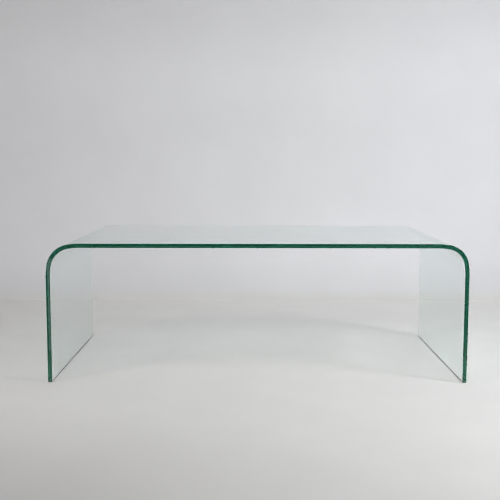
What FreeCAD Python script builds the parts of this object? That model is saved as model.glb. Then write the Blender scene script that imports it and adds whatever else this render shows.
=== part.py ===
import FreeCAD, Part
import math
import os
import Sketcher

# A waterfall coffee table. One sheet of clear glass is bent down at both ends, so that the top
# and both legs are a single piece. It stands on four small clear pads.
#
# Frame: +X along the length to the right, +Y towards the back, +Z up. The origin is on the
# floor, midway between the legs and midway from front to back. Millimetres and degrees.
#
# A bend in heated glass has no sharp start. Each one is three arcs in a row: a slack arc that
# eases out of the leg, a tight arc that does most of the turn, and a slack arc that eases into
# the top. The tight arc of the left bend is a little larger than that of the right one.

DRIVING_SIZES = [
    # name of the cell, value, what it measures
    ("length", 1200, "between the outer faces of the two legs"),
    ("depth", 650, "from the front edge to the back edge"),
    ("height", 400, "from the floor to the upper face of the top"),
    ("glass_thickness", 12, "of the sheet, all along"),
    ("bend_radius_left", 72, "outer face of the tight arc of the left bend"),
    ("bend_radius_right", 65, "outer face of the tight arc of the right bend"),
    ("ease_radius", 200, "outer face of the slack arcs"),
    ("ease_angle", 10, "turned by each slack arc, in degrees"),
    ("corner_radius", 4, "dubbed corners of the sheet, at the feet"),
    ("arris_width", 1.5, "45 degree bevel ground along every edge"),
    ("pad_margin", 0.5, "left free between the rim of a foot pad and the arris"),
    ("pad_height", 0.5, "of a foot pad, from the floor to the glass"),
    ("pad_rim_radius", 0.15, "rounding of the rim that meets the floor"),
    ("pad_setback", 60, "from the front or back edge to the centre of a pad"),
]

# The ends of a line or arc, and the centre of an arc, as the sketcher numbers them.
START, END, CENTRE = 1, 2, 3
SKETCH_ORIGIN = (-1, START)
SKETCH_VERTICAL_AXIS = -2

# The lines and arcs along one face of the sheet, in order from the left foot.
LEFT_LEG, LEFT_BEND, TOP, RIGHT_BEND, RIGHT_LEG = 0, 2, 4, 6, 8
EASES = (1, 3, 5, 7)
ARCS = (1, 2, 3, 5, 6, 7)

LEFT, RIGHT = -1, 1
FRONT, BACK = -1, 1

SAME_PLACE = 1e-3   # millimetres
SAME_NORMAL = 0.999   # cosine of the angle between two faces that run on smoothly

PAD_PLACES = {
    "foot_pad_front_left": (LEFT, FRONT),
    "foot_pad_front_right": (RIGHT, FRONT),
    "foot_pad_back_left": (LEFT, BACK),
    "foot_pad_back_right": (RIGHT, BACK),
}

doc = FreeCAD.newDocument("waterfall_coffee_table")
sizes = doc.addObject("Spreadsheet::Sheet", "Sizes")


def fill_sheet():
    """Write each driving size in a row of its own: its name, its value and a note."""
    for row, (name, value, note) in enumerate(DRIVING_SIZES, start=1):
        sizes.set(f"A{row}", name)
        sizes.set(f"B{row}", str(value))
        sizes.set(f"C{row}", note)
        sizes.setAlias(f"B{row}", name)
    doc.recompute()


def size(name):
    """The value of a driving size."""
    return float(sizes.get(name))


def new_body(name):
    body = doc.addObject("PartDesign::Body", name)
    body.Label = name
    return body


def new_sketch(body, role, name):
    """A sketch on one of the body's own origin planes."""
    plane = next(part for part in body.Origin.OriginFeatures if part.Role == role)
    sketch = body.newObject("Sketcher::SketchObject", name)
    sketch.AttachmentSupport = [(plane, "")]
    sketch.MapMode = "FlatFace"
    return sketch


def drive(sketch, name, constraint, formula):
    """Add a dimension to the sketch and bind it to the sheet."""
    index = sketch.addConstraint(constraint)
    sketch.renameConstraint(index, name)
    sketch.setExpression(f"Constraints.{name}", formula)


# ---------------------------------------------------------------- the bent glass sheet


def bend_arcs(side, bend_radius):
    """Centre, outer radius, first and last angle of a bend's three arcs, leg end first."""
    ease_radius = size("ease_radius")
    ease_angle = math.radians(size("ease_angle"))
    centre_gap = ease_radius - bend_radius
    rise = centre_gap * math.cos(ease_angle)
    lean = centre_gap * math.sin(ease_angle)
    level_x = size("length") / 2 - ease_radius
    level_z = size("height") - ease_radius
    quarter = math.pi / 2
    right_hand_arcs = [
        (level_x, level_z + rise - lean, ease_radius, 0, ease_angle),
        (level_x + rise, level_z + rise, bend_radius, ease_angle, quarter - ease_angle),
        (level_x + rise - lean, level_z, ease_radius, quarter - ease_angle, quarter),
    ]
    if side == RIGHT:
        return right_hand_arcs
    return [(-x, z, radius, math.pi - last, math.pi - first)
            for x, z, radius, first, last in right_hand_arcs]


def add_face_run(sketch, depth_in_glass):
    """Draw one face of the sheet from the left foot over the top to the right foot.

    depth_in_glass is 0 for the outer face and the glass thickness for the inner face. Returns
    the run's lines and arcs in order: leg, three arcs, top, three arcs, leg.
    """
    foot_x = size("length") / 2 - depth_in_glass
    foot_z = size("pad_height")
    top_z = size("height") - depth_in_glass
    left_arcs = bend_arcs(LEFT, size("bend_radius_left"))
    right_arcs = bend_arcs(RIGHT, size("bend_radius_right"))[::-1]

    def line(x1, z1, x2, z2):
        segment = Part.LineSegment(FreeCAD.Vector(x1, z1, 0), FreeCAD.Vector(x2, z2, 0))
        return sketch.addGeometry(segment)

    def arc(x, z, radius, first, last):
        circle = Part.Circle(FreeCAD.Vector(x, z, 0), FreeCAD.Vector(0, 0, 1),
                             radius - depth_in_glass)
        return sketch.addGeometry(Part.ArcOfCircle(circle, first, last))

    run = [line(-foot_x, foot_z, -foot_x, left_arcs[0][1])]
    run += [arc(*values) for values in left_arcs]
    run += [line(left_arcs[-1][0], top_z, right_arcs[0][0], top_z)]
    run += [arc(*values) for values in right_arcs]
    run += [line(foot_x, right_arcs[-1][1], foot_x, foot_z)]

    # The run goes clockwise, so it leaves a line at its end and an arc at its start.
    lines = {run[LEFT_LEG], run[TOP], run[RIGHT_LEG]}
    for this, following in zip(run, run[1:]):
        leaving = END if this in lines else START
        entering = START if following in lines else END
        sketch.addConstraint(
            Sketcher.Constraint("Tangent", this, leaving, following, entering))
    return run


def draw_glass_profile(sketch):
    """The sheet seen from the front: outer face, inner face and the two feet."""
    outer = add_face_run(sketch, 0)
    inner = add_face_run(sketch, size("glass_thickness"))

    for arc in ARCS:
        sketch.addConstraint(Sketcher.Constraint(
            "Coincident", inner[arc], CENTRE, outer[arc], CENTRE))
    for leg, foot_end in ((LEFT_LEG, START), (RIGHT_LEG, END)):
        foot = sketch.addGeometry(Part.LineSegment(
            sketch.getPoint(outer[leg], foot_end), sketch.getPoint(inner[leg], foot_end)))
        sketch.addConstraint([
            Sketcher.Constraint("Coincident", foot, START, outer[leg], foot_end),
            Sketcher.Constraint("Coincident", foot, END, inner[leg], foot_end),
            Sketcher.Constraint("Horizontal", foot),
            Sketcher.Constraint("Vertical", outer[leg]),
            Sketcher.Constraint("Vertical", inner[leg]),
        ])
    left_foot = (outer[LEFT_LEG], START)
    right_foot = (outer[RIGHT_LEG], END)
    sketch.addConstraint([
        Sketcher.Constraint("Horizontal", outer[TOP]),
        Sketcher.Constraint("Symmetric", *left_foot, *right_foot, SKETCH_VERTICAL_AXIS),
    ])

    drive(sketch, "length", Sketcher.Constraint(
        "DistanceX", *left_foot, *right_foot, size("length")), "Sizes.length")
    drive(sketch, "height", Sketcher.Constraint(
        "DistanceY", *SKETCH_ORIGIN, outer[TOP], START, size("height")), "Sizes.height")
    drive(sketch, "foot_level", Sketcher.Constraint(
        "DistanceY", *SKETCH_ORIGIN, *left_foot, size("pad_height")), "Sizes.pad_height")
    drive(sketch, "left_leg_thickness", Sketcher.Constraint(
        "DistanceX", *left_foot, inner[LEFT_LEG], START, size("glass_thickness")),
        "Sizes.glass_thickness")
    drive(sketch, "right_leg_thickness", Sketcher.Constraint(
        "DistanceX", inner[RIGHT_LEG], END, *right_foot, size("glass_thickness")),
        "Sizes.glass_thickness")
    drive(sketch, "bend_radius_left", Sketcher.Constraint(
        "Radius", outer[LEFT_BEND], size("bend_radius_left")), "Sizes.bend_radius_left")
    drive(sketch, "bend_radius_right", Sketcher.Constraint(
        "Radius", outer[RIGHT_BEND], size("bend_radius_right")),
        "Sizes.bend_radius_right")
    for number, ease in enumerate(EASES, start=1):
        drive(sketch, f"ease_radius_{number}", Sketcher.Constraint(
            "Radius", outer[ease], size("ease_radius")), "Sizes.ease_radius")
        drive(sketch, f"ease_angle_{number}", Sketcher.Constraint(
            "Angle", outer[ease], math.radians(size("ease_angle"))), "Sizes.ease_angle")


def foot_corner_edges(shape):
    """Edges across the glass where the foot meets the front and the back of the sheet."""
    foot_z = size("pad_height")
    edge_y = size("depth") / 2
    names = []
    for number, edge in enumerate(shape.Edges, start=1):
        middle = edge.CenterOfMass
        at_foot = math.isclose(middle.z, foot_z, abs_tol=SAME_PLACE)
        at_edge = math.isclose(abs(middle.y), edge_y, abs_tol=SAME_PLACE)
        if at_foot and at_edge:
            names.append(f"Edge{number}")
    return names


def sharp_edges(shape):
    """Edges whose two faces meet at an angle, unlike the joins between tangent faces."""
    names = []
    for number, edge in enumerate(shape.Edges, start=1):
        middle = edge.valueAt((edge.FirstParameter + edge.LastParameter) / 2)
        normals = []
        for face in shape.ancestorsOfType(edge, Part.Face):
            u, v = face.Surface.parameter(middle)
            normals.append(face.normalAt(u, v))
        if len(normals) == 2 and normals[0].dot(normals[1]) < SAME_NORMAL:
            names.append(f"Edge{number}")
    return names


def make_glass_sheet():
    """The table itself: the profile made as deep as the table, then its edges worked."""
    body = new_body("bent_glass_sheet")
    sketch = new_sketch(body, "XZ_Plane", "GlassProfile")
    draw_glass_profile(sketch)

    pad = body.newObject("PartDesign::Pad", "GlassDepth")
    pad.Profile = sketch
    pad.SideType = "Symmetric"
    pad.setExpression("Length", "Sizes.depth")
    doc.recompute()

    dubbing = body.newObject("PartDesign::Fillet", "DubbedCorners")
    dubbing.Base = (pad, foot_corner_edges(pad.Shape))
    dubbing.setExpression("Radius", "Sizes.corner_radius")
    doc.recompute()

    arris = body.newObject("PartDesign::Chamfer", "GroundArris")
    arris.Base = (dubbing, sharp_edges(dubbing.Shape))
    arris.setExpression("Size", "Sizes.arris_width")
    doc.recompute()
    return body, sketch


# ---------------------------------------------------------------- the foot pads


def make_foot_pad(name, side, end):
    """A round self-adhesive pad under a leg, as wide as the flat of the glass edge allows."""
    body = new_body(name)
    sketch = new_sketch(body, "XY_Plane", f"Outline_{name}")
    radius = size("glass_thickness") / 2 - size("arris_width") - size("pad_margin")
    outline = sketch.addGeometry(Part.Circle(
        FreeCAD.Vector(0, 0, 0), FreeCAD.Vector(0, 0, 1), radius))
    sketch.addConstraint(
        Sketcher.Constraint("Coincident", outline, CENTRE, *SKETCH_ORIGIN))
    drive(sketch, "pad_radius", Sketcher.Constraint("Radius", outline, radius),
          "Sizes.glass_thickness / 2 - Sizes.arris_width - Sizes.pad_margin")

    disc = body.newObject("PartDesign::Pad", f"Disc_{name}")
    disc.Profile = sketch
    disc.setExpression("Length", "Sizes.pad_height")
    doc.recompute()

    floor_rim = [f"Edge{number}" for number, edge in enumerate(disc.Shape.Edges, start=1)
                 if edge.BoundBox.ZMax < size("pad_height") / 2]
    rim = body.newObject("PartDesign::Fillet", f"Rim_{name}")
    rim.Base = (disc, floor_rim)
    rim.setExpression("Radius", "Sizes.pad_rim_radius")

    body.setExpression(
        "Placement.Base.x", f"{side} * (Sizes.length - Sizes.glass_thickness) / 2")
    body.setExpression(
        "Placement.Base.y", f"{end} * (Sizes.depth / 2 - Sizes.pad_setback)")
    doc.recompute()
    return body, sketch


# ---------------------------------------------------------------- build, test and write


def check(bodies, sketches):
    """Stop if anything failed to build or a sketch is loose."""
    for item in doc.Objects:
        if "Invalid" in item.State or "Error" in item.State:
            raise RuntimeError(f"{item.Name} did not build: {item.State}")
    for sketch in sketches:
        if not sketch.FullyConstrained:
            raise RuntimeError(f"{sketch.Name} is not fully constrained")
    for body in bodies:
        shape = body.Shape
        if shape.isNull() or not shape.isValid() or len(shape.Solids) != 1:
            raise RuntimeError(f"{body.Label} is not one valid solid")


def write(bodies):
    os.makedirs("parts", exist_ok=True)
    for body in bodies:
        body.Shape.exportStep(f"parts/{body.Label}.step")
        box = body.Shape.optimalBoundingBox()
        print(f"{body.Label}: {box.XLength:.2f} x {box.YLength:.2f} x {box.ZLength:.2f} mm,"
              f" {body.Shape.Volume / 1000:.2f} cm3")


fill_sheet()
made = [make_glass_sheet()]
made += [make_foot_pad(name, side, end) for name, (side, end) in PAD_PLACES.items()]
all_bodies = [body for body, _ in made]
check(all_bodies, [sketch for _, sketch in made])
write(all_bodies)
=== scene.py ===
# %% [markdown]
# # A waterfall coffee table in bent clear glass
#
# The table is a single pane of clear float glass. It was cut flat, its edges were ground and
# polished, and then it was heated over a mould until both ends dropped to make the legs. The
# broad faces are almost invisible. What the eye reads is the edge, because light that travels
# along the pane crosses more than half a metre of slightly green glass.
#
# So this lesson builds one clean closed mesh with true thickness, gives it the optics of real
# glass, and lets the dark green edge appear by itself.

# %% Load the fixed frame
import math

import bmesh
import bpy
from mathutils import Matrix, Vector


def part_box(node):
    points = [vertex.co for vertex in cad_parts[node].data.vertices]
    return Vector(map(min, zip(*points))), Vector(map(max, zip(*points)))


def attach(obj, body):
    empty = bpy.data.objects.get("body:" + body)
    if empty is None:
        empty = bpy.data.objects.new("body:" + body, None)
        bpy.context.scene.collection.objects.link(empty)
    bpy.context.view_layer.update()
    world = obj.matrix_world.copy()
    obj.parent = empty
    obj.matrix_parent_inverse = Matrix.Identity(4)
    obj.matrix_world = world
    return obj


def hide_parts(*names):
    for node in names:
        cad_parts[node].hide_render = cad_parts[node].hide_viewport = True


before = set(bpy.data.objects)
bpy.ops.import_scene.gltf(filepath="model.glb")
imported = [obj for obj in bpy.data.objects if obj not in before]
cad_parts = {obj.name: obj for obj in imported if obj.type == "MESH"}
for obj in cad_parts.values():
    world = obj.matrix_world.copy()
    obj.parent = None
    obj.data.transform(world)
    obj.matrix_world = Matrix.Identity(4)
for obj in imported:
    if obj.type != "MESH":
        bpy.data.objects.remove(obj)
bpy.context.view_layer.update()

MM = 0.001
CM = 0.01
glass_low, glass_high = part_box("bent_glass_sheet")
print("pane:", [round(v / MM, 1) for v in glass_high - glass_low], "mm")

# %% [markdown]
# ## The pane's own sizes
#
# The outer box of the pane comes from the frame. The thickness of the glass and the shape of
# its two bends can't be read from a box, so they are named here. A bend in heated glass has no
# sharp start: a slack arc eases out of the leg, a tight arc turns most of the corner, and
# another slack arc eases into the top. The left bend came out a little rounder than the right.

# %% Sizes of the glass
GLASS_THICKNESS = 12 * MM
EASE_RADIUS = 200 * MM
EASE_ANGLE = math.radians(10)
BEND_RADIUS_LEFT = 72 * MM
BEND_RADIUS_RIGHT = 65 * MM
CORNER_RADIUS = 4 * MM
ARRIS_WIDTH = 1.5 * MM

half_length = glass_high.x
half_depth = glass_high.y
top_level = glass_high.z
foot_level = glass_low.z
print("from foot to top:", round((top_level - foot_level) / MM, 2), "mm")

# %% [markdown]
# ## Bending the pane
#
# On the real table the flat pane is bent over a mould. In the mesh the same thing is done with
# a section: the foot of the left leg is one rectangle, as thick as the glass and as deep as the
# table, and it is pushed along the pane. A straight run is an extrusion and a bend is a spin,
# so every wall is exactly as thick as the glass and the arcs are true arcs. A solidified
# surface would give the same outline, but its thickness would drift where the arcs meet.

# %% Helpers that push the section along
DEGREES_PER_STEP = 1.25
BEND_AXIS = Vector((0, 1, 0))


def straight_run(bm, section, move, steps=1):
    """Extrude the section's edges in equal steps and return the edges at the far end."""
    for _ in range(steps):
        grown = bmesh.ops.extrude_edge_only(bm, edges=section)["geom"]
        ends = [item for item in grown if isinstance(item, bmesh.types.BMVert)]
        bmesh.ops.translate(bm, verts=ends, vec=move / steps)
        section = [item for item in grown if isinstance(item, bmesh.types.BMEdge)
                   and all(vert in ends for vert in item.verts)]
    return section


def bent_run(bm, section, centre, angle):
    """Spin the section's edges about an axis that runs from front to back."""
    steps = max(1, round(math.degrees(angle) / DEGREES_PER_STEP))
    spun = bmesh.ops.spin(bm, geom=section, cent=centre, axis=BEND_AXIS,
                          angle=angle, steps=steps, use_duplicate=False)
    return [item for item in spun["geom_last"] if isinstance(item, bmesh.types.BMEdge)]


# %% [markdown]
# The three arcs of a bend touch each other without a kink, so their centres follow from the
# radii. The tight arc's centre is pulled in from the slack arcs' centres along the line on
# which they meet. The centres are worked out for the right-hand bend and mirrored for the left.

# %% The centres of a bend's three arcs
def bend_centres(bend_radius):
    """Centres for the right-hand bend, leg end first."""
    gap = EASE_RADIUS - bend_radius
    rise = gap * math.cos(EASE_ANGLE)
    lean = gap * math.sin(EASE_ANGLE)
    level = Vector((half_length - EASE_RADIUS, 0, top_level - EASE_RADIUS))
    return [
        level + Vector((0, 0, rise - lean)),
        level + Vector((rise, 0, rise)),
        level + Vector((rise - lean, 0, 0)),
    ]


def mirrored(point):
    """The same point on the other side of the table's middle."""
    return Vector((-point.x, point.y, point.z))


left_centres = [mirrored(centre) for centre in bend_centres(BEND_RADIUS_LEFT)]
right_centres = bend_centres(BEND_RADIUS_RIGHT)[::-1]
print("flat part of the top:", round((right_centres[0].x - left_centres[2].x) / MM, 1), "mm")

# %% [markdown]
# The way along the pane is now known: up the left leg, round three arcs, along the top, round
# three arcs and down the right leg. The section is a grid of one cell, a metre square, that a
# matrix scales to the rectangle of the foot. The straight runs are cut into steps, which keeps
# the narrow faces along the edge short. The last edges are filled to close the right foot.

# %% Push the section from the left foot to the right foot
HALF_CELL = 0.5
LEG_STEPS = 12
TOP_STEPS = 36
QUARTER = math.pi / 2

pane = bmesh.new()
foot_middle = Vector((-half_length + GLASS_THICKNESS / 2, 0, foot_level))
bmesh.ops.create_grid(
    pane, x_segments=1, y_segments=1, size=HALF_CELL,
    matrix=Matrix.Translation(foot_middle)
    @ Matrix.Diagonal((GLASS_THICKNESS, 2 * half_depth, 1, 1)))
section = pane.edges[:]

turns = [EASE_ANGLE, QUARTER - 2 * EASE_ANGLE, EASE_ANGLE]
leg_up = Vector((0, 0, left_centres[0].z - foot_level))
along_top = Vector((right_centres[0].x - left_centres[2].x, 0, 0))
leg_down = Vector((0, 0, foot_level - right_centres[2].z))

section = straight_run(pane, section, leg_up, LEG_STEPS)
for centre, turn in zip(left_centres, turns):
    section = bent_run(pane, section, centre, turn)
section = straight_run(pane, section, along_top, TOP_STEPS)
for centre, turn in zip(right_centres, turns):
    section = bent_run(pane, section, centre, turn)
section = straight_run(pane, section, leg_down, LEG_STEPS)
bmesh.ops.contextual_create(pane, geom=section)
bmesh.ops.recalc_face_normals(pane, faces=pane.faces[:])
print("bent pane:", len(pane.verts), "points,", len(pane.faces), "faces,",
      round(pane.calc_volume() / CM ** 3), "cm3")

# %% [markdown]
# ## Working the edges
#
# A bare cut edge of glass is razor sharp. The glazier first dubs the four corners that would
# chip against the floor, then grinds a narrow 45 degree bevel, the arris, along every edge.
# Both are bevels here, done in that order, because the arris has to run round the dubbed
# corners too. The arris is what gives the green edge its thin light and dark outlines.

# %% Dub the corners and grind the arris
SAME_PLACE = 0.01 * MM
CORNER_SEGMENTS = 8
ROUND_PROFILE = 0.5
SHARP_FACE_ANGLE = math.radians(30)


def at_foot(vert):
    """True for a point on the underside of a foot."""
    return abs(vert.co.z - foot_level) < SAME_PLACE


def at_foot_corner(edge):
    """True for an edge that crosses the thickness of the glass at a corner of a foot."""
    first, last = edge.verts
    return at_foot(first) and at_foot(last) and abs(first.co.y - last.co.y) < SAME_PLACE


corners = [edge for edge in pane.edges if at_foot_corner(edge)]
bmesh.ops.bevel(pane, geom=corners, offset=CORNER_RADIUS, offset_type="OFFSET",
                segments=CORNER_SEGMENTS, profile=ROUND_PROFILE, affect="EDGES", material=-1)
outline = [edge for edge in pane.edges if edge.calc_face_angle(0) > SHARP_FACE_ANGLE]
arris = bmesh.ops.bevel(pane, geom=outline, offset=ARRIS_WIDTH, offset_type="OFFSET",
                        segments=1, profile=ROUND_PROFILE, affect="EDGES",
                        material=-1)["faces"]
print("corners dubbed:", len(corners), " edges ground:", len(outline),
      " arris faces:", len(arris))

# %% [markdown]
# ## One mesh, one material, and a map of the edge work
#
# Light goes into the glass at one place and out at another, so the whole closed pane has to be
# one material: with two, the render would lose track of which glass the light is inside. The
# finish still differs from place to place, and a colour attribute says where. Red marks the
# polished edge and green marks the arris. Blue runs across the polished edge, from 0 along the
# inner face to 1 along the outer face, so that polishing lines can follow the bends.

# %% Mark the worked edges
EDGE_WORK = "edge_work"
UNDER_TOP = Vector((0, 0, top_level / 2))
MOSTLY = 0.5

marks = pane.loops.layers.float_color.new(EDGE_WORK)
arris_faces = set(arris)


def is_polished_edge(face):
    """True for a face that looks mostly forwards or backwards, or lies at the foot."""
    low = face.calc_center_median().z < foot_level + CORNER_RADIUS
    return abs(face.normal.y) > MOSTLY or low


def on_outer_side(vert):
    """True where the arris beside a point leans away from the room under the table."""
    lean = sum((face.normal for face in vert.link_faces if face in arris_faces), Vector())
    return Vector((lean.x, 0, lean.z)).dot(vert.co - UNDER_TOP) > 0


polished = 0
for face in pane.faces:
    worked = face not in arris_faces and is_polished_edge(face)
    polished += worked
    for loop in face.loops:
        loop[marks] = (worked, face in arris_faces, worked and on_outer_side(loop.vert), 1)
print("polished edge faces:", polished)

# %% [markdown]
# The bends are made of narrow flat faces, and smooth shading blends them into one curve. The
# arris would be blended too and look like a soft rounding, so its edges are marked sharp.

# %% Smooth the bends and keep the arris crisp
for face in pane.faces:
    face.smooth = True
for edge in pane.edges:
    edge.smooth = edge.calc_face_angle(0) < SHARP_FACE_ANGLE
print("crisp edges:", sum(not edge.smooth for edge in pane.edges))

# %% [markdown]
# ## From a finished mesh to a piece
#
# Every finished mesh becomes an object in the same few lines. A piece of the table also says
# which body it rides on and which node of the frame it stands for. The floor and the card need
# none of that, so there are two helpers.

# %% Helpers that turn a finished bmesh into an object
def stored(bm, name, material):
    """Store a finished bmesh as an object that sits at the origin."""
    mesh = bpy.data.meshes.new(name)
    bm.to_mesh(mesh)
    bm.free()
    mesh.materials.append(material)
    made = bpy.data.objects.new(name, mesh)
    bpy.context.scene.collection.objects.link(made)
    return made


def table_piece(bm, name, cad_node, material):
    """Store a piece of the table, ride it on the table and say which node it stands for."""
    piece = stored(bm, name, material)
    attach(piece, "root")
    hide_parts(cad_node)
    print(name, "stands for", cad_node)


# %% [markdown]
# ## A short way to lay nodes
#
# Every material is laid with the same few nodes. A helper that adds a node and fills its
# sockets in one call keeps the recipes below short enough to read as recipes. The other
# helpers are built on it: a sum, a slope, a noise and a mix of two colours.

# %% Helpers that lay nodes
def node(tree, kind, inputs=(), **settings):
    """Add a node, make its settings, and give its inputs values or links."""
    made = tree.nodes.new(kind)
    for key, value in settings.items():
        setattr(made, key, value)
    for key, source in dict(inputs).items():
        if isinstance(source, bpy.types.NodeSocket):
            tree.links.new(source, made.inputs[key])
        else:
            made.inputs[key].default_value = source
    return made


def calculate(tree, operation, *values):
    """The result of one Math node."""
    return node(tree, "ShaderNodeMath", dict(enumerate(values)), operation=operation).outputs[0]


def slope(tree, value, start, end, low=0.0, high=1.0, blend="SMOOTHSTEP"):
    """Go from low to high while the value goes from start to end, and stay there."""
    inputs = {"Value": value, "From Min": start, "From Max": end, "To Min": low, "To Max": high}
    return node(tree, "ShaderNodeMapRange", inputs, interpolation_type=blend).outputs[0]


def noise(tree, place, scale, detail=0.0, stretch=(1, 1, 1)):
    """Cloudy noise over a place, finer along an axis where the stretch is larger."""
    stretched = node(tree, "ShaderNodeVectorMath", {0: place, 1: stretch}, operation="MULTIPLY")
    inputs = {"Vector": stretched.outputs[0], "Scale": scale, "Detail": detail}
    return node(tree, "ShaderNodeTexNoise", inputs).outputs[0]


def colour_mix(tree, factor, first, second):
    """The first colour where the factor is 0, and the second where it is 1."""
    inputs = {"Factor": factor, 6: first, 7: second}
    return node(tree, "ShaderNodeMix", inputs, data_type="RGBA").outputs[2]


def place_on_object(tree):
    """The place on the object itself, in metres."""
    return node(tree, "ShaderNodeTexCoord").outputs["Object"]


def new_material(name):
    """A material with its node tree, its shader and its output."""
    material = bpy.data.materials.new(name)
    material.use_nodes = True
    tree = material.node_tree
    return material, tree, tree.nodes["Principled BSDF"], tree.nodes["Material Output"]


# %% [markdown]
# ## Clear float glass
#
# Float glass bends light by an index of 1.52 and swallows a little of it on the way, red most
# and green least. Across 12 mm that is a hint of green. Along the pane it is a deep bottle
# green. The tint is therefore not a surface colour but a Volume Absorption, and its strength is
# set per metre of glass. A green surface with some transparency would be wrong for this table,
# because its broad faces would be as green as its edge.

# %% The optics of the glass
GLASS_IOR = 1.52
GLASS_DENSITY = 7.5
GLASS_TINT = (0.20, 0.627, 0.52, 1)

glass, glass_tree, glass_shader, glass_output = new_material("clear_float_glass")
glass_shader.inputs["Base Color"].default_value = (1, 1, 1, 1)
glass_shader.inputs["Transmission Weight"].default_value = 1
glass_shader.inputs["IOR"].default_value = GLASS_IOR
absorption = node(glass_tree, "ShaderNodeVolumeAbsorption",
                  {"Color": GLASS_TINT, "Density": GLASS_DENSITY})
glass_tree.links.new(absorption.outputs["Volume"], glass_output.inputs["Volume"])
for name, share in zip(("red", "green", "blue"), GLASS_TINT):
    along_pane = math.exp(-GLASS_DENSITY * (1 - share) * 2 * half_depth)
    print(name, "left after crossing the table's depth:", round(100 * along_pane), "%")

# %% [markdown]
# ## What the grinder, the polisher and the kiln leave behind
#
# The arris comes straight from a fine wheel and is never polished as far as the edge is. It has
# a satin look, a little uneven from stroke to stroke. The edge itself is polished with a felt
# wheel, which leaves a trace of haze. One noise serves both as the strokes of the wheel, and
# the map of the edge work decides which roughness shows where. Everything else stays at
# roughness 0, as smooth as the tin bath made it.
#
# Noise could reach from 0 to 1, but most of it stays near the middle of that range. So a slope
# that follows a noise usually runs from NOISE_LOW to NOISE_HIGH.

# %% Dullness of the arris and the edge
ARRIS_ROUGHNESS = 0.3
ARRIS_UNEVENNESS = 0.03
NOISE_LOW = 0.3
NOISE_HIGH = 0.7
STROKE_SCALE = 45.0
EDGE_HAZE = 0.01
HAZE_START = 0.45
HAZE_FULL = 0.75

glass_place = place_on_object(glass_tree)
work = node(glass_tree, "ShaderNodeAttribute", attribute_name=EDGE_WORK)
zones = node(glass_tree, "ShaderNodeSeparateColor", {0: work.outputs["Color"]})
on_edge = zones.outputs["Red"]
on_arris = zones.outputs["Green"]
across = zones.outputs["Blue"]

strokes = noise(glass_tree, glass_place, STROKE_SCALE, detail=2)
arris_roughness = slope(glass_tree, strokes, NOISE_LOW, NOISE_HIGH,
                        ARRIS_ROUGHNESS - ARRIS_UNEVENNESS, ARRIS_ROUGHNESS + ARRIS_UNEVENNESS)
edge_roughness = slope(glass_tree, strokes, HAZE_START, HAZE_FULL, 0, EDGE_HAZE)
dullness = calculate(glass_tree, "MULTIPLY_ADD", on_arris, arris_roughness,
                     calculate(glass_tree, "MULTIPLY", on_edge, edge_roughness))
glass_tree.links.new(dullness, glass_shader.inputs["Roughness"])
print("roughness of the arris:", ARRIS_ROUGHNESS, " of the polished edge: up to", EDGE_HAZE)

# %% [markdown]
# The felt wheel runs along the edge, so its marks are faint long lines. They are a noise in
# four dimensions: the fourth is the distance across the edge and changes quickly, and the
# other three are the place on the table and change slowly, so that a line wanders a little as
# it goes round a bend. All heights are in metres, so that a Bump node with a distance of 1
# will turn them into true slopes.

# %% Polishing lines along the edge
LINES_ACROSS = 9.0
LINE_DRIFT = 3.0
LINE_HEIGHT = 0.0005 * MM

drift = node(glass_tree, "ShaderNodeVectorMath", {0: glass_place, "Scale": LINE_DRIFT},
             operation="SCALE").outputs[0]
line_noise = node(glass_tree, "ShaderNodeTexNoise",
                  {"Vector": drift, "Scale": 1.0, "Detail": 1.0,
                   "W": calculate(glass_tree, "MULTIPLY", across, LINES_ACROSS)},
                  noise_dimensions="4D")
line_relief = calculate(glass_tree, "MULTIPLY", line_noise.outputs[0],
                        calculate(glass_tree, "MULTIPLY", on_edge, LINE_HEIGHT))
print("polishing lines:", round(LINE_HEIGHT / MM, 5), "mm high")

# %% [markdown]
# The broad faces sagged a little as the glass bent, so they carry a slow waviness of a few
# thousandths of a millimetre. It grows towards the bends and stays strong down the legs, and
# its waves are longer from front to back than along the table. A Bump node is right for it,
# because such a wave shows only in how the glass bends light, never in its outline.

# %% Kiln waviness of the faces
WAVE_SCALE = 7.0
WAVE_STRETCH = (1, 0.4, 1)
WAVE_HEIGHT = 0.005 * MM
BEND_WAVE_GAIN = 3.0
BEND_ZONE = half_length - EASE_RADIUS

glass_axes = node(glass_tree, "ShaderNodeSeparateXYZ", {0: glass_place})
outward = calculate(glass_tree, "ABSOLUTE", glass_axes.outputs["X"])
wave_height = slope(glass_tree, outward, BEND_ZONE - EASE_RADIUS, BEND_ZONE + EASE_RADIUS / 2,
                    WAVE_HEIGHT, WAVE_HEIGHT * BEND_WAVE_GAIN)
off_edge = calculate(glass_tree, "SUBTRACT", 1, on_edge)
on_face = calculate(glass_tree, "SUBTRACT", off_edge, on_arris)
waves = noise(glass_tree, glass_place, WAVE_SCALE, stretch=WAVE_STRETCH)
wave_relief = calculate(glass_tree, "MULTIPLY", waves,
                        calculate(glass_tree, "MULTIPLY", on_face, wave_height))
relief = node(glass_tree, "ShaderNodeBump",
              {"Distance": 1.0, "Height": calculate(glass_tree, "ADD", line_relief, wave_relief)})
glass_tree.links.new(relief.outputs["Normal"], glass_shader.inputs["Normal"])
table_piece(pane, "glass_pane", "bent_glass_sheet", glass)

# %% [markdown]
# ## Foot pads
#
# Four clear self-adhesive pads keep the polished feet off the floor. Each is a disc of soft
# polyurethane on a film of adhesive. Both plastics are clear with a faint cloud in them, and
# their surface has a light grain, so one recipe makes both, and only colour and roughness
# differ. Clear and cloudy parts are two colours and two roughnesses, mixed by one noise.

# %% The pad materials
PAD_IOR = 1.49
PAD_CLARITY = 0.85
CLOUD_SCALE = 700.0
GRAIN_SCALE = 4000.0
GRAIN_HEIGHT = 0.004 * MM


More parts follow.
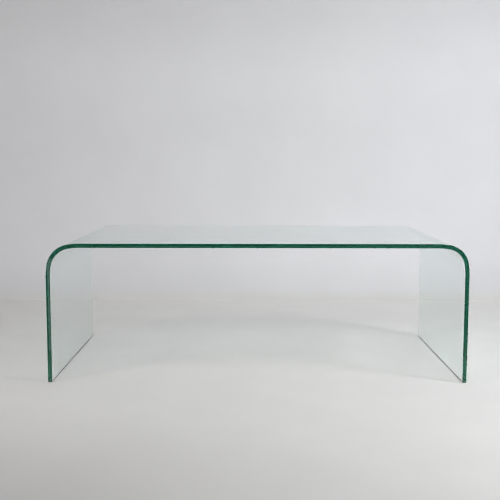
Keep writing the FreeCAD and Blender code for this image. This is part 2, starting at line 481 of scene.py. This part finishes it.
def soft_plastic(name, clear_colour, cloudy_colour, low_roughness, high_roughness):
    """Clear plastic with a faint cloud in it and a fine grain on it."""
    material, tree, shader, _ = new_material(name)
    place = place_on_object(tree)
    cloud = noise(tree, place, CLOUD_SCALE, detail=3)
    tint = colour_mix(tree, cloud, clear_colour, cloudy_colour)
    roughness = slope(tree, cloud, NOISE_LOW, NOISE_HIGH, low_roughness, high_roughness)
    grain = noise(tree, place, GRAIN_SCALE, detail=1)
    bump = node(tree, "ShaderNodeBump",
                {"Distance": 1.0, "Height": calculate(tree, "MULTIPLY", grain, GRAIN_HEIGHT)})
    tree.links.new(tint, shader.inputs["Base Color"])
    tree.links.new(roughness, shader.inputs["Roughness"])
    tree.links.new(bump.outputs["Normal"], shader.inputs["Normal"])
    shader.inputs["Transmission Weight"].default_value = PAD_CLARITY
    shader.inputs["IOR"].default_value = PAD_IOR
    print(name, "has a roughness of", low_roughness, "to", high_roughness)
    return material


pad_plastic = soft_plastic(
    "clear_soft_plastic", clear_colour=(0.93, 0.95, 0.93, 1),
    cloudy_colour=(0.80, 0.83, 0.80, 1), low_roughness=0.18, high_roughness=0.38)
pad_adhesive = soft_plastic(
    "clear_adhesive", clear_colour=(0.90, 0.90, 0.84, 1),
    cloudy_colour=(0.80, 0.79, 0.70, 1), low_roughness=0.30, high_roughness=0.55)

# %% [markdown]
# A pad is cast as a drop, so it is rounded round its rim, and the film between it and the glass
# is a little smaller. The half profile of each is drawn with four points and spun a full turn,
# as on a lathe, and then the lower rim of the pad is bevelled. Where a pad sits and how large it
# is comes from the box of its node in the frame.

# %% Spin the pads
FILM_THICKNESS = 0.08 * MM
FILM_SETBACK = 0.15 * MM
RIM_RADIUS = 0.15 * MM
RIM_SEGMENTS = 5
DISC_SEGMENTS = 48
LEVEL_NORMAL = 0.999


def disc(middle, radius, low, high):
    """Spin a half profile, from the axis out and back to the axis, into a closed disc."""
    bm = bmesh.new()
    outline = [bm.verts.new(middle + Vector((reach, 0, level)))
               for reach, level in ((0, low), (radius, low), (radius, high), (0, high))]
    profile = [bm.edges.new(pair) for pair in zip(outline, outline[1:])]
    bmesh.ops.spin(bm, geom=profile, cent=middle, axis=Vector((0, 0, 1)), angle=2 * math.pi,
                   steps=DISC_SEGMENTS, use_merge=True, use_duplicate=False)
    bmesh.ops.remove_doubles(bm, verts=bm.verts, dist=SAME_PLACE)
    bmesh.ops.recalc_face_normals(bm, faces=bm.faces[:])
    return bm


def round_rim(bm, level):
    """Round the edge between the side of a disc and its face at this level."""
    rim = [edge for edge in bm.edges if edge.calc_face_angle(0) > SHARP_FACE_ANGLE
           and all(abs(vert.co.z - level) < SAME_PLACE for vert in edge.verts)]
    bmesh.ops.bevel(bm, geom=rim, offset=RIM_RADIUS, offset_type="OFFSET", segments=RIM_SEGMENTS,
                    profile=ROUND_PROFILE, affect="EDGES", material=-1)
    for face in bm.faces:
        face.smooth = abs(face.normal.z) < LEVEL_NORMAL


for cad_node in sorted(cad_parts):
    if not cad_node.startswith("foot_pad"):
        continue
    low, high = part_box(cad_node)
    middle = Vector(((low.x + high.x) / 2, (low.y + high.y) / 2, 0))
    radius = (high.x - low.x) / 2
    film_level = high.z - FILM_THICKNESS
    where = cad_node.removeprefix("foot_pad_")
    pad = disc(middle, radius, low.z, film_level)
    round_rim(pad, low.z)
    table_piece(pad, "clear_pad_" + where, cad_node, pad_plastic)
    film = disc(middle, radius - FILM_SETBACK, film_level, high.z)
    table_piece(film, "pad_film_" + where, cad_node, pad_adhesive)

# %% [markdown]
# ## The studio
#
# A pale floor meets a pale wall. Both are one sheet, as paper from a roll would be: an edge
# along the front is pushed back over the floor and then up the wall. Its faces are turned to
# look up and forwards, because the paint further down hides their backs.

# %% The sheet of paper
WALL_Y = 1.1
SHEET_HALF_WIDTH = 7.0
SHEET_FRONT = -7.0
WALL_HEIGHT = 4.0

paint, paint_tree, paint_shader, paint_output = new_material("studio_paint")
sheet = bmesh.new()
front_corners = [sheet.verts.new((x, SHEET_FRONT, 0))
                 for x in (-SHEET_HALF_WIDTH, SHEET_HALF_WIDTH)]
line = [sheet.edges.new(front_corners)]
line = straight_run(sheet, line, Vector((0, WALL_Y - SHEET_FRONT, 0)))
straight_run(sheet, line, Vector((0, 0, WALL_HEIGHT)))
for face in sheet.faces:
    if face.normal.z < -MOSTLY or face.normal.y > MOSTLY:
        face.normal_flip()
print("sheet of paper:", len(sheet.faces), "faces, with the wall at", WALL_Y, "m")
stored(sheet, "studio_sheet", paint)

# %% [markdown]
# The light in a real studio is never quite even, so the paint carries slow gradients of painted
# light and shade. They sit in the colour of the paper, where they hardly change the light on the
# table. The floor has painted shade in the near foreground, and the wall has painted shade at its
# foot and towards its top. On its way to the fold the floor first gets painted shade and then a
# little painted light.
#
# Each gradient is one slope over a range, given as the place where it starts and the place
# where it is complete. Ranges on the floor are depths, and ranges on the wall are heights.

# %% How light the floor and the wall are, with painted shade and light
OFF_FLOOR = 0.5 * MM
FLOOR_SHADE = 0.723
FLOOR_NEAR, FLOOR_NEAR_LOSS = (-0.5, -1.35), 0.122
FLOOR_MIDDLE = 0.3
FOLD_SHADE = 0.708
FOLD_WIDTH, FOLD_LIFT = 0.15, 0.024
WALL_SHADE = 0.657
WALL_FOOT, WALL_FOOT_LOSS = (0, 0.18), 0.067
WALL_MIDDLE, WALL_MIDDLE_LOSS = (0.25, 0.9), 0.030
WALL_TOP, WALL_TOP_LOSS = (0.95, 1.4), 0.087

paint_place = place_on_object(paint_tree)
axes = node(paint_tree, "ShaderNodeSeparateXYZ", {0: paint_place})
sideways, depth, height = (axes.outputs[axis] for axis in "XYZ")
on_wall = calculate(paint_tree, "GREATER_THAN", height, OFF_FLOOR)


def floor_or_wall(on_floor, on_the_wall):
    """One value for the floor and another for the wall."""
    inputs = {"Factor": on_wall, 2: on_floor, 3: on_the_wall}
    return node(paint_tree, "ShaderNodeMix", inputs).outputs[0]


# Painted shade on the floor near the fold and in the near foreground, and a little painted light
# right beside the wall.
towards_fold = slope(paint_tree, depth, WALL_Y, FLOOR_MIDDLE, FOLD_SHADE, FLOOR_SHADE)
painted_fold_light = slope(paint_tree, depth, WALL_Y - FOLD_WIDTH, WALL_Y, 0, FOLD_LIFT)
floor_far = calculate(paint_tree, "ADD", towards_fold, painted_fold_light)
painted_near_shade = slope(paint_tree, depth, *FLOOR_NEAR, 0, FLOOR_NEAR_LOSS)
floor_shade = calculate(paint_tree, "SUBTRACT", floor_far, painted_near_shade)

# Painted shade at the foot of the wall, in its middle and towards its top.
wall_foot = slope(paint_tree, height, *WALL_FOOT, WALL_SHADE - WALL_FOOT_LOSS, WALL_SHADE,
                  blend="LINEAR")
painted_wall_shade = calculate(paint_tree, "ADD",
                        slope(paint_tree, height, *WALL_MIDDLE, 0, WALL_MIDDLE_LOSS),
                        slope(paint_tree, height, *WALL_TOP, 0, WALL_TOP_LOSS))
wall_shade = calculate(paint_tree, "SUBTRACT", wall_foot, painted_wall_shade)
shade = floor_or_wall(floor_shade, wall_shade)
print("paper reflects", FLOOR_SHADE, "on the floor and", WALL_SHADE, "on the wall")

# %% [markdown]
# The paint also carries painted light to the right and painted shade to the left, most of all in
# the near foreground. This pull is a straight line across the sheet, kept within limits. Far
# back, painted shade darkens the paper again towards both of its sides. The left of the wall has
# a little more painted shade still, over a range from side to side. A faint mottling keeps the
# paper from looking computed.

# %% Painted light from left to right, and a faint mottling
NEAR_HALF = (-0.45, -1.25)
SIDE_PULL, NEAR_SIDE_PULL = 0.05, 0.36
MOST_PULL = 0.2
FAR_HALF, FAR_SIDE_LOSS = (0.2, 1.0), 0.042
MOST_SPREAD = 1.5
LEFT_HALF = (0.2, -1.1)
LEFT_HEIGHT, WALL_LEFT_LOSS = (0, 0.5), 0.032
MOTTLING_SCALE, MOTTLING = 5.0, 0.012

# Painted light on the right and painted shade on the left; far back, painted shade towards both
# sides.
side_pull = slope(paint_tree, depth, *NEAR_HALF, SIDE_PULL, NEAR_SIDE_PULL)
pulled = node(paint_tree, "ShaderNodeClamp",
              {"Value": calculate(paint_tree, "MULTIPLY_ADD", sideways, side_pull, 1),
               "Min": 1 - MOST_PULL, "Max": 1 + MOST_PULL}).outputs[0]
far_loss = slope(paint_tree, depth, *FAR_HALF, 0, FAR_SIDE_LOSS)
squared = calculate(paint_tree, "POWER", sideways, 2)
spread = calculate(paint_tree, "MINIMUM", squared, MOST_SPREAD)
left_loss = calculate(paint_tree, "MULTIPLY", slope(paint_tree, sideways, *LEFT_HALF),
                      slope(paint_tree, height, *LEFT_HEIGHT, 0, WALL_LEFT_LOSS))
side_loss = calculate(paint_tree, "MULTIPLY_ADD", far_loss, spread, left_loss)
painted_side_light_and_shade = calculate(paint_tree, "SUBTRACT", pulled, side_loss)
mottling = slope(paint_tree, noise(paint_tree, paint_place, MOTTLING_SCALE, detail=3),
                 NOISE_LOW, NOISE_HIGH, 1 - MOTTLING, 1 + MOTTLING)
pulled_shade = calculate(paint_tree, "MULTIPLY", shade, painted_side_light_and_shade)
mottled_shade = calculate(paint_tree, "MULTIPLY", pulled_shade, mottling)
print("pull per metre:", SIDE_PULL, " in the foreground:", NEAR_SIDE_PULL)

# %% [markdown]
# The paint also carries two soft pools of painted light: one on the floor under the table, where
# it weakens the table's shadow, and one low on the wall, right of the middle. Each is made from
# the distance to its middle. A plain distance gives a round pool, and a height that counts double
# gives one that is wider than it is high.

# %% Two soft pools of painted light
FLOOR_POOL, FLOOR_POOL_GAIN = (0.08, 0.05, 0), 0.026
WALL_POOL, WALL_POOL_GAIN = (0.37, WALL_Y, 0.14), 0.050
POOL_CORE, POOL_RIM = 0.3, 0.75
FOLD_HEIGHT = 0.06


def pool(middle, flatness, gain):
    """Painted light around a middle, all of it in the pool's core and none past its rim."""
    offset = node(paint_tree, "ShaderNodeVectorMath", {0: paint_place, 1: middle},
                  operation="SUBTRACT").outputs[0]
    stretched = node(paint_tree, "ShaderNodeVectorMath", {0: offset, 1: (1, 1, flatness)},
                     operation="MULTIPLY").outputs[0]
    reach = node(paint_tree, "ShaderNodeVectorMath", {0: stretched}, operation="LENGTH")
    return slope(paint_tree, reach.outputs["Value"], POOL_RIM, POOL_CORE, 0, gain)


above_fold = slope(paint_tree, height, 0, FOLD_HEIGHT)
painted_floor_pool = pool(FLOOR_POOL, 1, FLOOR_POOL_GAIN)
painted_wall_pool = calculate(paint_tree, "MULTIPLY", pool(WALL_POOL, 2, WALL_POOL_GAIN), above_fold)
painted_pools = floor_or_wall(painted_floor_pool, painted_wall_pool)
# The pools add painted light to the colour of the paper.
full_shade = calculate(paint_tree, "MULTIPLY_ADD", mottled_shade, painted_pools, mottled_shade)
print("the pools add", FLOOR_POOL_GAIN, "on the floor and", WALL_POOL_GAIN, "on the wall")

# %% [markdown]
# The floor is a touch warm and the wall a touch cool. The shade scales this tint, and the
# paper is dull, with just enough shine to be paper.

# %% The paint itself
FLOOR_TINT = (1.010, 1.0, 0.990, 1)
WALL_TINT = (1.0, 1.0, 1.03, 1)
PAPER_ROUGHNESS = 0.9
PAPER_SHINE = 0.1

tint = colour_mix(paint_tree, above_fold, FLOOR_TINT, WALL_TINT)
colour = node(paint_tree, "ShaderNodeVectorMath", {0: tint, "Scale": full_shade},
              operation="SCALE").outputs[0]
paint_tree.links.new(colour, paint_shader.inputs["Base Color"])
paint_shader.inputs["Roughness"].default_value = PAPER_ROUGHNESS
paint_shader.inputs["Specular IOR Level"].default_value = PAPER_SHINE
print("the paint has", len(paint_tree.nodes), "nodes so far")

# %% [markdown]
# The sheet has to vanish in three places: on its back, so that it never hides the table; along
# its front and its ends, so that it doesn't stop at a line where it is looked at; and, for
# reflections only, on the floor in front of the table. A photographer would lay a dark cloth
# there, so that the near edges of the glass mirror something dark and keep their deep green.

# %% Where the paper isn't there
FRONT_FADE = (-1.5, -2.4)
SIDE_FADE = (1.5, 2.6)
DARK_CLOTH = (-0.4, -1.1)

paper_side = node(paint_tree, "ShaderNodeNewGeometry")
paper_path = node(paint_tree, "ShaderNodeLightPath")
in_mirror = calculate(paint_tree, "MULTIPLY", paper_path.outputs["Is Glossy Ray"],
                      slope(paint_tree, depth, *DARK_CLOTH))
looked_at = calculate(paint_tree, "ADD", paper_path.outputs["Is Camera Ray"],
                      paper_path.outputs["Is Transmission Ray"])
far_aside = slope(paint_tree, calculate(paint_tree, "ABSOLUTE", sideways), *SIDE_FADE)
far_out = calculate(paint_tree, "MAXIMUM", slope(paint_tree, depth, *FRONT_FADE), far_aside)
faded = calculate(paint_tree, "MULTIPLY_ADD", looked_at, far_out, in_mirror)
gone = calculate(paint_tree, "MAXIMUM", paper_side.outputs["Backfacing"], faded)
see_through = node(paint_tree, "ShaderNodeBsdfTransparent")
paper_or_nothing = node(
    paint_tree, "ShaderNodeMixShader",
    {"Fac": gone, 1: paint_shader.outputs["BSDF"], 2: see_through.outputs["BSDF"]})
paint_tree.links.new(paper_or_nothing.outputs["Shader"], paint_output.inputs["Surface"])
print("the paper fades out from", SIDE_FADE[0], "to", SIDE_FADE[1], "m on either side")

# %% [markdown]
# ## A glowing card for the left leg's reflection
#
# An edge of glass is also a mirror, and a weak one is enough to lift a green that dark. A strip
# of card that glows by itself, though it is no lamp, lies on the floor in front of the table on
# the left, and the left leg's front edge mirrors it as a painted reflection: the card's left
# border runs along the line of sight that the edge reflects, so the outer part of the edge stays
# deep green and the rest is paler. Only reflections see the card. It lights nothing and casts no
# shadow.

# %% Lay the card
CARD_BORDER_X = -0.5943
CARD_SIGHT_SLOPE = -0.2394
CARD_NEAR, CARD_FAR = 0.40, 3.0
CARD_WIDTH = 0.32
CARD_LEVEL = 1 * MM
CARD_COLOUR = (0.95, 1, 1.05, 1)
CARD_LIGHT = 1.1

# The card is black and glows by itself, though it is no lamp; only reflections see its glow.
card_paint, _, card_shader, _ = new_material("glowing_card_paint")
card_shader.inputs["Base Color"].default_value = (0, 0, 0, 1)
card_shader.inputs["Emission Color"].default_value = CARD_COLOUR
card_shader.inputs["Emission Strength"].default_value = CARD_LIGHT

card = bmesh.new()
border = []
for reach in (CARD_NEAR, CARD_FAR):
    border_x = CARD_BORDER_X + CARD_SIGHT_SLOPE * reach
    border.append(card.verts.new((border_x, -half_depth - reach, CARD_LEVEL)))
straight_run(card, [card.edges.new(border)], Vector((CARD_WIDTH, 0, 0)))
glowing_card = stored(card, "glowing_card", card_paint)
glowing_card.visible_camera = False
glowing_card.visible_diffuse = False
glowing_card.visible_shadow = False
glowing_card.visible_transmission = False
print("the card lies from", CARD_NEAR, "to", CARD_FAR, "m in front of the table")

# %% [markdown]
# ## Lamps
#
# Two softboxes stand in front, one near on the right and one further off on the left. They are
# tall and narrow. A narrow lamp keeps the shadow of an upright edge thin, so each back foot
# starts a fine line on the floor, and a tall lamp blurs the shadow of the level edges of the
# top into a faint arch.

# %% Hang the softboxes
LAMP_AIM = Vector((0, 0.4, 0.2))


def softbox(name, place, width, height, power, colour):
    """A rectangular lamp that points at the table."""
    light = bpy.data.lights.new(name, "AREA")
    light.shape = "RECTANGLE"
    light.size = width
    light.size_y = height
    light.energy = power
    light.color = colour
    lamp = bpy.data.objects.new(name, light)
    lamp.location = place
    lamp.rotation_euler = (LAMP_AIM - Vector(place)).to_track_quat("-Z", "Y").to_euler()
    bpy.context.scene.collection.objects.link(lamp)
    print(name, "is", round((LAMP_AIM - lamp.location).length, 2), "m away")


softbox("softbox_right", place=(2.08, -1.19, 1.85), width=0.36, height=0.95,
        power=47, colour=(0.97, 1.0, 1.005))
softbox("softbox_left", place=(-3.2, -2.7, 3.3), width=0.42, height=1.6,
        power=86, colour=(1.03, 1.0, 0.975))

# %% [markdown]
# ## The air of the room
#
# The rest of the light comes from the room in front of the table, out of a soft band above the
# floor. Overhead and behind it is nearly dark, because light from there would wash out the
# green. The world's Generated coordinates are the direction of a ray, so three slopes multiply
# into the band: one over front and back, and two over up and down.

# %% Light from the room in front
ROOM_LIGHT = 1.0
CEILING_LIGHT = 0.08
TOWARDS_FRONT = (0.2, -0.7)
BELOW_CEILING = (0.85, 0.25)
ABOVE_FLOOR = (-0.02, 0.1)

world = bpy.data.worlds.new("studio_air")
world.use_nodes = True
air = world.node_tree
ray = node(air, "ShaderNodeTexCoord").outputs["Generated"]
direction = node(air, "ShaderNodeSeparateXYZ", {0: ray})
in_front = slope(air, direction.outputs["Y"], *TOWARDS_FRONT)
low_down = slope(air, direction.outputs["Z"], *BELOW_CEILING)
above_floor = slope(air, direction.outputs["Z"], *ABOVE_FLOOR)
band = calculate(air, "MULTIPLY", calculate(air, "MULTIPLY", in_front, low_down), above_floor)
room = calculate(air, "MULTIPLY_ADD", band, ROOM_LIGHT - CEILING_LIGHT, CEILING_LIGHT)
print("light from the room:", ROOM_LIGHT, "in front,", CEILING_LIGHT, "elsewhere")

# %% [markdown]
# A ray that goes straight from the camera, or on through the glass, meets a pale air instead,
# so that the table looks right from any side. A path that has met a dull surface on its way
# carries light to that surface, so it meets the room even through glass.

# %% Pale air for what the camera sees directly or through the glass
PALE_AIR = (0.62, 0.63, 0.64, 1)
ONE_BOUNCE = 1

air_path = node(air, "ShaderNodeLightPath")
not_bounced = calculate(air, "LESS_THAN", air_path.outputs["Diffuse Depth"], ONE_BOUNCE)
through_glass = calculate(air, "MULTIPLY", air_path.outputs["Is Transmission Ray"], not_bounced)
seen = calculate(air, "MAXIMUM", air_path.outputs["Is Camera Ray"], through_glass)
air_colour = colour_mix(air, seen, room, PALE_AIR)
air.links.new(air_colour, air.nodes["Background"].inputs["Color"])
bpy.context.scene.world = world
print("the air has", len(air.nodes), "nodes")

# %% [markdown]
# ## Camera
#
# The camera looks from the front, a little above the top and slightly down, through a short
# telephoto lens. It stands about two centimetres left of the middle, and it leans by a tenth
# of a degree, as a camera on a tripod may.

# %% Set up the camera
CAMERA_PLACE = Vector((-0.0241, -2.7187, 0.6423))
CAMERA_YAW = math.radians(0.056)
CAMERA_PITCH = math.radians(6.185)
CAMERA_ROLL = math.radians(0.101)
SENSOR_WIDTH_IN_MM = 36
FOCAL_LENGTH_IN_MM = 61.506

camera_data = bpy.data.cameras.new("camera")
camera_data.sensor_width = SENSOR_WIDTH_IN_MM
camera_data.lens = FOCAL_LENGTH_IN_MM
camera = bpy.data.objects.new("camera", camera_data)
camera.matrix_world = (Matrix.Translation(CAMERA_PLACE) @ Matrix.Rotation(-CAMERA_YAW, 4, "Z")
                       @ Matrix.Rotation(QUARTER - CAMERA_PITCH, 4, "X")
                       @ Matrix.Rotation(CAMERA_ROLL, 4, "Z"))
bpy.context.scene.collection.objects.link(camera)
bpy.context.scene.camera = camera
print("the camera stands", round(-CAMERA_PLACE.y - half_depth, 2), "m in front of the table")

# %% [markdown]
# ## What the render needs to show glass
#
# Light that shows in the edge has bounced many times between the two faces, so the paths are
# allowed to be long. The table's shadow on the floor is light that came through the glass,
# which is found by following paths to the lamps, so nothing blurs or clamps those paths, and
# path guiding learns where they lie.

# %% Render settings
BOUNCES_IN_GLASS = 40
BOUNCES_OFF_PAPER = 6
CLEAR_CROSSINGS = 16
PIXEL_FILTER = 1.0

cycles = bpy.context.scene.cycles
cycles.max_bounces = BOUNCES_IN_GLASS
cycles.transmission_bounces = BOUNCES_IN_GLASS
cycles.glossy_bounces = BOUNCES_IN_GLASS
cycles.diffuse_bounces = BOUNCES_OFF_PAPER
cycles.transparent_max_bounces = CLEAR_CROSSINGS
cycles.blur_glossy = 0
cycles.sample_clamp_indirect = 0
cycles.use_guiding = True
cycles.use_surface_guiding = True
cycles.use_volume_guiding = False
cycles.filter_width = PIXEL_FILTER
bpy.context.scene.view_settings.view_transform = "Standard"
print("light may bounce", BOUNCES_IN_GLASS, "times in the glass")
